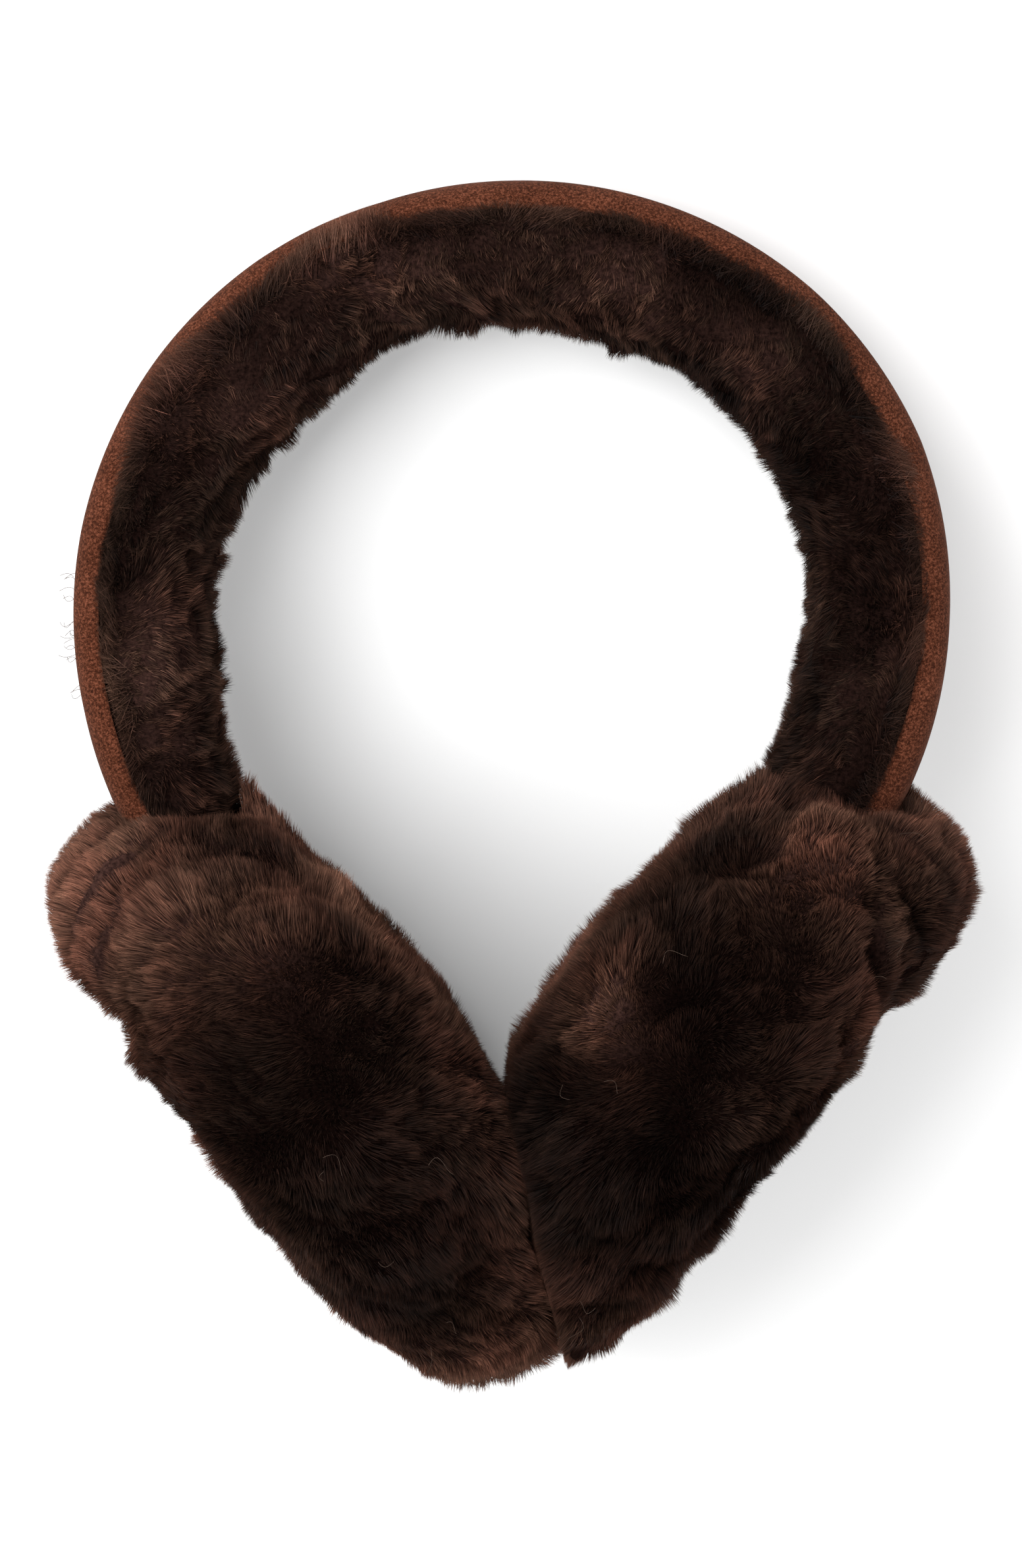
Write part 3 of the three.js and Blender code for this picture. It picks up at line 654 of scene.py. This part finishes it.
def pad_relief(pad, points):
    """How far the pile's tips lie below the pad's even surface at these points of it, and how much of that
    is a pucker or a parting."""
    u, v, w = pad.to_pad(points).T
    front = v * pad.side
    turn = np.degrees(np.arctan2(front, -u))
    wander = ripple(points, 18.0, seed=51 + pad.side) * 1.1
    crease = np.zeros(len(points))
    for at, depth, half, low, high in PUCKERS[pad.name]:
        off = np.radians(turn - at) * np.hypot(u, front) + wander
        window = smoothstep(low - 4, low + 4, w) * (1 - smoothstep(high - 6, high + 6, w))
        crease += depth * np.exp(-(off / half) ** 2) * window
    view = np.stack([u, w + wander * 0.6], -1)
    for depth, half, line in PARTINGS[pad.name]:
        crease += depth * np.exp(-(near_line(view, line) / half) ** 2) * smoothstep(5, 20, front)
    crease += cut_for_band(points)
    broad, fine = ripple(points, 15.0, seed=31 + pad.side), ripple(points, 5.0, seed=41 + pad.side)
    relief = EVEN_RELIEF + broad * 0.45 + fine * 0.22
    swell = np.zeros(len(points))
    for along, across, size, far in SWELLS[pad.name]:
        swell += far * np.exp(-((u - along) ** 2 + (w - across) ** 2) / size ** 2)
    apart = smoothstep(0.5, 7.0, (points - pad.through) @ pad.normal)
    return (relief + crease - swell) * apart, crease * apart


def pad_tone_and_shade(pad, points, out):
    """How pale a pad's fur is, in stops, with painted light and shade: painted shade where it's seen end on
    from the front, so paler round the ends and the sides, painted light underneath, painted shade in its
    puckers, partings and hollows, and its soft patches, partly its own colour and partly painted light and
    shade."""
    local = pad.to_pad(points)
    local[:, 1] *= pad.side
    # painted shade: darker where the strands point to the front and are seen end on
    end_on_shade = smoothstep(0.3, 1.0, np.abs(out[:, 2]))
    stops = -0.4 - 1.9 * end_on_shade + ripple(points, 14.0, seed=61 + pad.side) * 0.25
    # painted light: paler where the strands point sideways or away from the front, which the lamps leave dark
    stops += 0.45 * (1 - smoothstep(-0.2, 0.3, out[:, 2]))
    relief, crease = pad_relief(pad, points)
    # painted shade: darker in the puckers and partings, and where the tips lie deeper
    stops -= 0.6 * np.minimum(crease, 2.4) + 0.2 * np.clip(relief - crease, -1.0, 1.0)
    # soft patches: partly the fur's own colour, partly painted light and shade
    for along, front, across, size, amount in TONE_AND_LIGHT_PATCHES[pad.name]:
        far = np.linalg.norm(local - np.array([along, front, across]), axis=1) / size
        stops = stops + amount * np.exp(-far ** 2)
    return stops


def grow(name, tip, out, material, rng, lean, tufted, guard, stops, seed, combed=0.0):
    """Shorn strands up to the tips, out along the pile, combed one way, leaned sideways by soft noise and
    drawn together in tufts. guard moves their ends out of the pieces beside them. stops is how pale
    they are, painted light and shade included; the tufts' tops get painted light and the gaps between them
    painted shade."""
    broad, middle, fine = waves(tip, 20.0, seed), waves(tip, 7.0, seed + 1), waves(tip, 2.4, seed + 2)
    sway = broad * lean * 0.7 + middle * lean * 0.65
    sway += fine * lean * 0.4 * tufted + rng.normal(size=tip.shape) * lean * 0.22 + combed
    high, drawn = tufts(tip, 6.5, seed + 3)
    higher, drawn_more = tufts(tip, 3.2, seed + 4)
    sway += (drawn * 0.9 + drawn_more * 0.45) * tufted
    sway -= (sway * out).sum(1, keepdims=True) * out
    root = tip - out * STRAND_DEPTH
    sunk = np.abs(rng.normal(size=len(tip))) * 0.35
    sunk += (np.maximum(-high, 0) * 0.3 + np.maximum(-higher, 0) * 0.15) * tufted
    end = guard(tip + sway - out * sunk[:, None])
    uneven = rng.normal(size=len(tip)) * (0.3 + 0.45 * tufted)
    # painted light on the tufts' tops and painted shade in the gaps between them, and a random tone for each
    # strand
    tone_and_shade = np.exp2(stops + (0.3 * high + 0.22 * higher) * tufted + uneven)
    width = STRAND_WIDTH * rng.uniform(0.7, 1.25, len(tip))
    return strands_mesh(name, above_floor(root, ROOT_HEIGHT), end, width, material, rng, tone_and_shade)


def ribbons(name, paths, width, material):
    """Single long hairs, each a narrow ribbon along its path, as one mesh."""
    points, corners = [], []
    for path in paths:
        across = unit(np.cross(np.gradient(path, axis=0), np.array([0.3, 0.2, 1.0]))) * width / 2
        start = len(points)
        for a, b in zip(path - across, path + across):
            points += [a, b]
        for n in range(len(path) - 1):
            k = start + 2 * n
            corners += [k, k + 1, k + 3, k + 2]
    sizes = np.full(len(corners) // 4, 4)
    return mesh_object(name, np.array(points), np.array(corners), sizes, material, {})


# The headband

def pile_grids(turn_limit, steps):
    """The tips and the roots of the headband's pile, as two grids that match."""
    turns = np.linspace(-turn_limit, turn_limit, steps + 1)
    rows = np.array(PILE_SECTION)
    middle = np.array([[0.0, 0.0, 1.0, PILE_ROOT_DEPTH]])
    half = np.concatenate([rows, middle])
    other = rows[::-1] * np.array([-1, -1, 1, 1])
    section = np.concatenate([half, other])
    fine = np.linspace(0, len(section) - 1, 4 * len(section))
    section = np.stack([np.interp(fine, np.arange(len(section)), section[:, c]) for c in range(4)], -1)
    depth, back = band_depth(turns), back_radius(turns)
    span = BAND_WIDTH / 2 + PILE_OVERHANG * shown(turns)
    grids = []
    for out, down in ((0, 2), (1, 3)):
        front = np.outer(span, section[:, out])
        drop = PILE_EDGE + np.outer(depth - PILE_EDGE, section[:, down])
        grids.append(on_hoop(np.repeat(turns[:, None], len(section), 1), back[:, None] - drop, front))
    return grids


def suede_grid():
    """The suede as rings along the headband, each round its section: in along the skin, out along the nap."""
    turns = np.linspace(-END_TURN, END_TURN, 241)
    flat = BAND_WIDTH / 2 - SUEDE_EDGE
    angles = np.radians(np.linspace(90, 0, 8))

    def line(inset):
        bend = SUEDE_EDGE - inset
        half = [(flat + bend * math.sin(a), SUEDE_CROWN + SUEDE_EDGE - bend * math.cos(a)) for a in angles]
        across = [(flat * x, inset + SUEDE_CROWN * x * x) for x in np.linspace(0.8, 0.0, 5)]
        left = half + across
        return left + [(-x, y) for x, y in left[-2::-1]]

    section = np.array(line(SUEDE_THICKNESS) + line(0.0)[::-1])
    front = np.repeat(section[None, :, 0], len(turns), 0)
    drop = np.repeat(section[None, :, 1], len(turns), 0)
    grid = on_hoop(np.repeat(turns[:, None], len(section), 1), back_radius(turns)[:, None] - drop, front)
    edge = smoothstep(flat * 0.8, BAND_WIDTH / 2, np.abs(front))[..., None]
    wavy = waves(grid.reshape(-1, 3), 26.0, seed=11).reshape(grid.shape) * 0.25
    return above_floor((grid + wavy * edge * shown(turns)[:, None, None]).reshape(-1, 3)).reshape(grid.shape)


def band_relief(points, out):
    """How far the pile's tips lie below the headband's even pile: ragged along the inner edge, most so at the
    upper left, and level beside the suede."""
    turn, radius = turn_and_radius(points)
    inner = smoothstep(0.55, 1.0, -(out * unit(points * np.array([1, 1, 0]))).sum(1))
    ragged = 0.15 + 0.5 * np.exp(-((turn + 35) / 42) ** 2)
    broad, fine = ripple(points, 14.0, seed=21), ripple(points, 4.5, seed=22)
    relief = EVEN_RELIEF + broad * 0.55 + fine * (0.25 + ragged * inner)
    beside = 1 - smoothstep(0.0, 5.0, back_radius(turn) - radius - SUEDE_CROWN - SUEDE_EDGE)
    more = np.interp(turn / BAND_TURN, *np.array(PILE_MORE).T)
    return relief * (1 - 0.8 * beside) - 0.6 * beside - inner * more


def band_tone_and_shade(points, out):
    """How pale the headband's fur is, in stops: painted shade beside the suede and where the strands are seen
    end on from the front, darker at the innermost tips, darker on the right than on the left, with soft
    golden patches."""
    turn, radius = turn_and_radius(points)
    drop = back_radius(turn) - radius
    # painted shade beside the suede; darker at the innermost tips
    stops = -0.45 - 0.35 * (1 - smoothstep(6.5, 11.0, drop)) - 0.35 * smoothstep(17.0, 24.0, drop)
    # painted shade where the strands are seen end on from the front; darker towards the right
    stops -= 0.3 * smoothstep(0.5, 1.0, np.abs(out[:, 2])) + 0.85 * smoothstep(5.0, 40.0, turn)
    stops += 0.15 * np.exp(-(turn / 22) ** 2) + 0.4 * smoothstep(60.0, 100.0, turn)
    return stops + ripple(points, 13.0, seed=23) * 0.45 + ripple(points, 4.0, seed=28) * 0.2


def fringe_reach(points, turn):
    """How far the fringe lies over the suede's edge."""
    reach = np.interp(turn / BAND_TURN, *np.array(FRINGE_REACH).T)
    uneven = ripple(points, 11.0, seed=26) * (0.5 + 0.22 * reach) + ripple(points, 3.5, seed=29) * 0.45
    return np.maximum(reach + uneven, 0.0)


def clear_of_suede(points):
    """Keeps the pile's tips off the suede's edges, apart from the fringe that lies over them."""
    turn, radius = turn_and_radius(points)
    over_edge = np.abs(points[:, 2]) > BAND_WIDTH / 2 + 0.3
    least = np.where(over_edge, PILE_EDGE - fringe_reach(points, turn), PILE_EDGE)
    kept = np.maximum(back_radius(turn) - radius, least)
    return above_floor(on_hoop(turn, back_radius(turn) - kept, points[:, 2]))


def make_headband():
    """The headband's suede, and its pile: the matted underfur, darkened with painted shade, and the strands
    that show.
    """
    skin = grid_mesh("headband_suede_skin", suede_grid(), suede)
    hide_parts("headband_suede")

    tips, roots = pile_grids(BAND_TURN + 7.0, 300)
    even_tips = tips.reshape(-1, 3)
    out = unit(even_tips - roots.reshape(-1, 3))
    tips = above_floor(even_tips - out * band_relief(even_tips, out)[:, None]).reshape(tips.shape)
    under = above_floor(tips.reshape(-1, 3) - out * UNDERFUR_DEPTH, UNDERFUR_HEIGHT).reshape(tips.shape)
    tone_and_shade = np.exp2(band_tone_and_shade(even_tips, out)).reshape(tips.shape[:2])
    shell = grid_mesh("headband_underfur", under, shaded_underfur, tone_and_shade)
    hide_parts("headband_pile")

    rng = np.random.default_rng(7)
    tip, root = scatter_on(tips, roots, STRANDS["band"], rng)
    out = unit(tip - root)
    stops = band_tone_and_shade(tip, out)
    fur = grow(
        "headband_fur", tip, out, band_fur, rng, BAND_LEAN, BAND_TUFTED, clear_of_suede, stops, seed=124,
    )


def make_fringe():
    """The fringe that lies over the suede's edges, at the front and the back."""
    rng = np.random.default_rng(8)
    count = STRANDS["fringe"]
    turn = rng.uniform(-BAND_TURN - 4, BAND_TURN + 4, count)
    face = rng.choice([-1.0, 1.0], count)
    root_radius = back_radius(turn) - rng.uniform(6.0, 9.5, count)
    root = on_hoop(turn, root_radius, face * rng.uniform(16.8, 18.2, count))
    reach = fringe_reach(root, turn) + 0.6 - np.abs(rng.normal(size=count)) * 1.1
    reach = np.clip(reach, -2.5, 4.8)
    swing = ripple(root, 9.0, seed=27) * 2.6 + rng.normal(size=count) * 1.6
    tip_radius = back_radius(turn) - PILE_EDGE + reach
    tip = on_hoop(turn + swing, tip_radius, face * (BAND_WIDTH / 2 + rng.uniform(0.5, 1.6, count)))
    sideways = np.sign(root) * np.array([0.0, 0.0, 1.0])
    stops = band_tone_and_shade(root, sideways) + 0.25 * np.clip(reach, -1, 3) + rng.normal(size=count) * 0.6
    width = np.full(count, FRINGE_WIDTH)
    fringe = strands_mesh(
        "headband_fringe", above_floor(root), above_floor(tip), width, band_fur, rng, np.exp2(stops),
        FRINGE_BARED,
    )


make_headband()
make_fringe()


# The pads

def meeting(points):
    """How far the line where the pads' fur meets strays from its plane."""
    return ripple(points * np.array([0.4, 1.0, 1.0]), 13.0, seed=91) * 0.55


def clear_of_other(pad):
    """Keeps a pad's tips on its own side of the place where the pads' fur meets, apart from a little of the
    left pad's, and closes the last gap there; the fur parts above that place."""
    def guard(points):
        gap = (points - between) @ pad.normal - pad.side * meeting(points)
        least = LEAST_GAPS[pad.name] + PARTED_SLOPE * np.maximum(points[:, 1] - PARTED_ABOVE, 0)
        low = smoothstep(CLOSED_BELOW, CLOSED_BELOW - 5, points[:, 1])
        near = (1 - smoothstep(0.3 + low, 3.5 + 2 * low, gap)) * (points[:, 1] < PARTED_ABOVE)
        moved = np.where(gap < least, least - gap, (least - gap) * (0.75 + 0.25 * low) * near)
        return above_floor(points + moved[:, None] * pad.normal)

    return guard


def out_of_band(points):
    """Moves points that lie where the headband goes into a pad to just past its end."""
    inside = in_band(points, -0.6)
    turn, radius = turn_and_radius(points)
    moved = on_hoop(np.sign(turn) * (END_TURN + 1.2), radius, points[:, 2])
    return np.where(inside[:, None], moved, points)


def pad_grids(pad, steps, columns):
    """The tips and the roots of a pad's pile, as two grids that match: rings from its outer side to its ear
    side. The fur parts in the V above the place where the pads touch, and closes the notch below it."""
    grids = []
    for radius, half in ((PAD_RADIUS, PAD_HALF), (PAD_RADIUS - PAD_PILE, PAD_HALF - PAD_PILE_THROUGH)):
        even = turned(*pad_profile(radius, half, steps), columns)
        grids.append(pad.to_hoop(pad.shape(even.reshape(-1, 3))))
    tips, out = grids[0], unit(grids[0] - grids[1])
    tips = tips - out * pad_relief(pad, tips)[0][:, None]
    gap = (tips - between) @ pad.normal
    parted = np.maximum(PARTED_SLOPE * np.maximum(tips[:, 1] - PARTED_ABOVE, 0) - gap, 0)
    low = smoothstep(CLOSED_BELOW, CLOSED_BELOW - 6, tips[:, 1])
    closed_up = 0.92 * gap * (1 - smoothstep(0, 15, gap)) * low
    closed_up *= smoothstep(-30.0, -5.0, tips[:, 2]) * (1 - smoothstep(22.0, 46.0, tips[:, 2]))
    tips = above_floor(tips + (parted - closed_up)[:, None] * pad.normal)
    return tips.reshape(even.shape), (tips - out * ROOTS_BELOW).reshape(even.shape)


def closed(grid):
    """Rings whose last point is their first."""
    return np.concatenate([grid, grid[:, :1]], axis=1)


def make_pad_skins(pad, tips, roots, seam):
    """The matted underfur of a pad, darkened with painted shade: one closed skin for its cover and one for
    its face, parted at the seam."""
    flat_tips = tips.reshape(-1, 3)
    out = unit((tips - roots).reshape(-1, 3))
    low = smoothstep(CLOSED_BELOW, CLOSED_BELOW - 6, flat_tips[:, 1])
    low *= 1 - smoothstep(1.0, 6.0, (flat_tips - between) @ pad.normal)
    under = out_of_band(flat_tips - out * (UNDERFUR_DEPTH * (1 - 0.3 * low))[:, None])
    under = above_floor(under, UNDERFUR_HEIGHT).reshape(tips.shape)
    tone_and_shade = np.exp2(pad_tone_and_shade(pad, flat_tips, out)).reshape(tips.shape[:2])
    half_clearance = pad.ear * CLEARANCE / 2
    cover_rows, face_rows = under[1:seam + 1].copy(), under[seam:-1].copy()
    cover_rows[-1] -= half_clearance
    face_rows[0] += half_clearance
    skin = grid_mesh(f"{pad.name}_pad_cover_skin", cover_rows, shaded_underfur, tone_and_shade[1:seam + 1])
    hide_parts(f"{pad.name}_pad_cover")
    face_skin = grid_mesh(f"{pad.name}_pad_face_skin", face_rows, shaded_underfur, tone_and_shade[seam:-1])
    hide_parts(f"{pad.name}_pad_face")


def make_pad_fur(pad, tips, roots, seam):
    """A pad's fur: on the front half of its cover, on the back half, and on its face, combed out from near
    its middle."""
    guard = clear_of_other(pad)

    def to_front(points):
        return pad.to_pad(points)[:, 1] * pad.side

    def seen(points):
        """More strands where a pad's front wall shows, fewer on its flat sides and underneath."""
        return 0.55 + 0.9 * smoothstep(-5.0, 30.0, to_front(points))

    def ahead(points):
        return seen(points) * (to_front(points) > 0)

    def behind(points):
        return to_front(points) <= 0

    parts = (
        ("cover_fur_front", STRANDS["front"], slice(0, seam + 1), ahead),
        ("cover_fur_back", STRANDS["back"], slice(0, seam + 1), behind),
        ("face_fur", STRANDS["face"], slice(seam, None), seen),
    )
    for number, (part, count, rows, weight) in enumerate(parts):
        rng = np.random.default_rng(100 * (pad.side + 2) + number)
        tip, root = scatter_on(closed(tips[rows]), closed(roots[rows]), count, rng, weight)
        free = ~in_band(tip, 1.0)
        tip, root = tip[free], root[free]
        out = unit(tip - root)
        stops = pad_tone_and_shade(pad, tip, out)
        away = (pad.to_pad(tip) - np.array(COMBED_FROM)) * np.array([1.0, 0.0, 1.0])
        combed = COMBED * unit(away) * smoothstep(-2, 5, np.linalg.norm(away, axis=1))[:, None] @ pad.axes
        fur = grow(
            f"{pad.name}_pad_{part}", tip, out, pad_fur, rng, PAD_LEAN, PAD_TUFTED, guard, stops,
            seed=70 + pad.side, combed=combed,
        )


seam = int(np.searchsorted(pad_profile(PAD_RADIUS, PAD_HALF, PAD_STEPS)[1], SEAM_HEIGHT))
for pad in pads:
    tips, roots = pad_grids(pad, PAD_STEPS, PAD_COLUMNS)
    make_pad_skins(pad, tips, roots, seam)
    make_pad_fur(pad, tips, roots, seam)


# Single hairs

def stray_paths(rng):
    """A few pale hairs that curl out of the fur on the pads' fronts."""
    paths = []
    for pad in pads:
        skin = pad_grids(pad, steps=60, columns=120)[0].reshape(-1, 3)
        local = pad.to_pad(skin)
        seen_skin = skin[(local[:, 1] * pad.side > 22) & (np.abs(local[:, 2]) < 15)]
        for start in seen_skin[rng.choice(len(seen_skin), STRAYS_A_PAD, replace=False)]:
            t = np.linspace(0, 1, 9)[:, None]
            bow, length, spin = rng.uniform(1.5, 5.0), rng.uniform(1.5, 4.0), rng.uniform(0, 2 * math.pi)
            way = np.array([math.cos(spin), math.sin(spin), 0.1])
            side = np.array([-math.sin(spin), math.cos(spin), 0.0])
            outward = unit(start - pad.centre)
            path = start + outward * (0.2 + 0.8 * t) + way * length * t
            paths.append(path + side * 0.35 * length * np.sin(bow * t))
    return [above_floor(path) for path in paths]


def fibre_paths(rng):
    """Loose fibres that stand off the suede's outer side, in threes."""
    turns = np.repeat(FIBRE_TURNS, 3)
    paths = []
    for turn in turns + rng.normal(size=len(turns)) * 0.5:
        start = on_hoop(np.array(turn), back_radius(turn) - 0.4, rng.uniform(-8, 14))
        t = np.linspace(0, 1, 9)[:, None]
        outward = unit(start * np.array([1, 1, 0]))
        sideways = np.array([0.35, 0.8, 0.3]) * rng.choice([-1, 1])
        path = start + outward * rng.uniform(1.2, 3.2) * t
        paths.append(path + sideways * rng.uniform(0.5, 1.6) * np.sin(3.0 * t))
    return [above_floor(path) for path in paths]


rng = np.random.default_rng(12)
ribbons("stray_hairs", stray_paths(rng), STRAY_WIDTH, stray)
ribbons("loose_fibres", fibre_paths(rng), FIBRE_WIDTH, stray)


# The surface, the lights and the camera

bpy.ops.mesh.primitive_plane_add(size=30.0, location=(0, 0, 0))
floor = bpy.context.object
floor.name = "floor"
floor_material, _, _, floor_shader = new_material("floor")
floor_shader.inputs["Base Color"].default_value = (0.94, 0.94, 0.94, 1.0)
floor_shader.inputs["Roughness"].default_value = 0.9
floor.data.materials.append(floor_material)

world = bpy.data.worlds.new("studio")
world.use_nodes = True
world.node_tree.nodes["Background"].inputs["Color"].default_value = (1.0, 1.0, 1.0, 1.0)
world.node_tree.nodes["Background"].inputs["Strength"].default_value = 0.85
bpy.context.scene.world = world


def area_light(name, place, target, size, watts):
    lamp = bpy.data.lights.new(name, "AREA")
    lamp.shape = "RECTANGLE"
    lamp.size, lamp.size_y = size
    lamp.energy = watts
    obj = bpy.data.objects.new(name, lamp)
    obj.location = place
    obj.rotation_mode = "QUATERNION"
    obj.rotation_quaternion = (Vector(target) - Vector(place)).to_track_quat("-Z", "Y")
    bpy.context.collection.objects.link(obj)


area_light("key", place=(-0.5, 0.45, 1.0), target=(0, 0, 0.04), size=(0.8, 0.8), watts=17.0)
area_light("fill", place=(0.5, -0.3, 1.1), target=(0, 0, 0.04), size=(0.8, 0.8), watts=4.0)

picture_centre = (
    (FRAME_WIDTH / 2 - HOOP_PIXEL[0]) * MM_PER_PIXEL,
    (HOOP_PIXEL[1] - FRAME_HEIGHT / 2) * MM_PER_PIXEL,
)
camera_data = bpy.data.cameras.new("camera")
camera_data.sensor_width = 36.0
camera_data.lens = camera_data.sensor_width * CAMERA_DISTANCE / (FRAME_HEIGHT * MM_PER_PIXEL)
camera_data.clip_start = 0.05
camera_data.clip_end = 20.0
camera = bpy.data.objects.new("camera", camera_data)
camera.location = to_row_frame(np.array([*picture_centre, CAMERA_DISTANCE]))
camera.rotation_euler = (-HOOP_TILT, 0.0, 0.0)
bpy.context.collection.objects.link(camera)
bpy.context.scene.camera = camera
bpy.context.scene.view_settings.view_transform = "Standard"
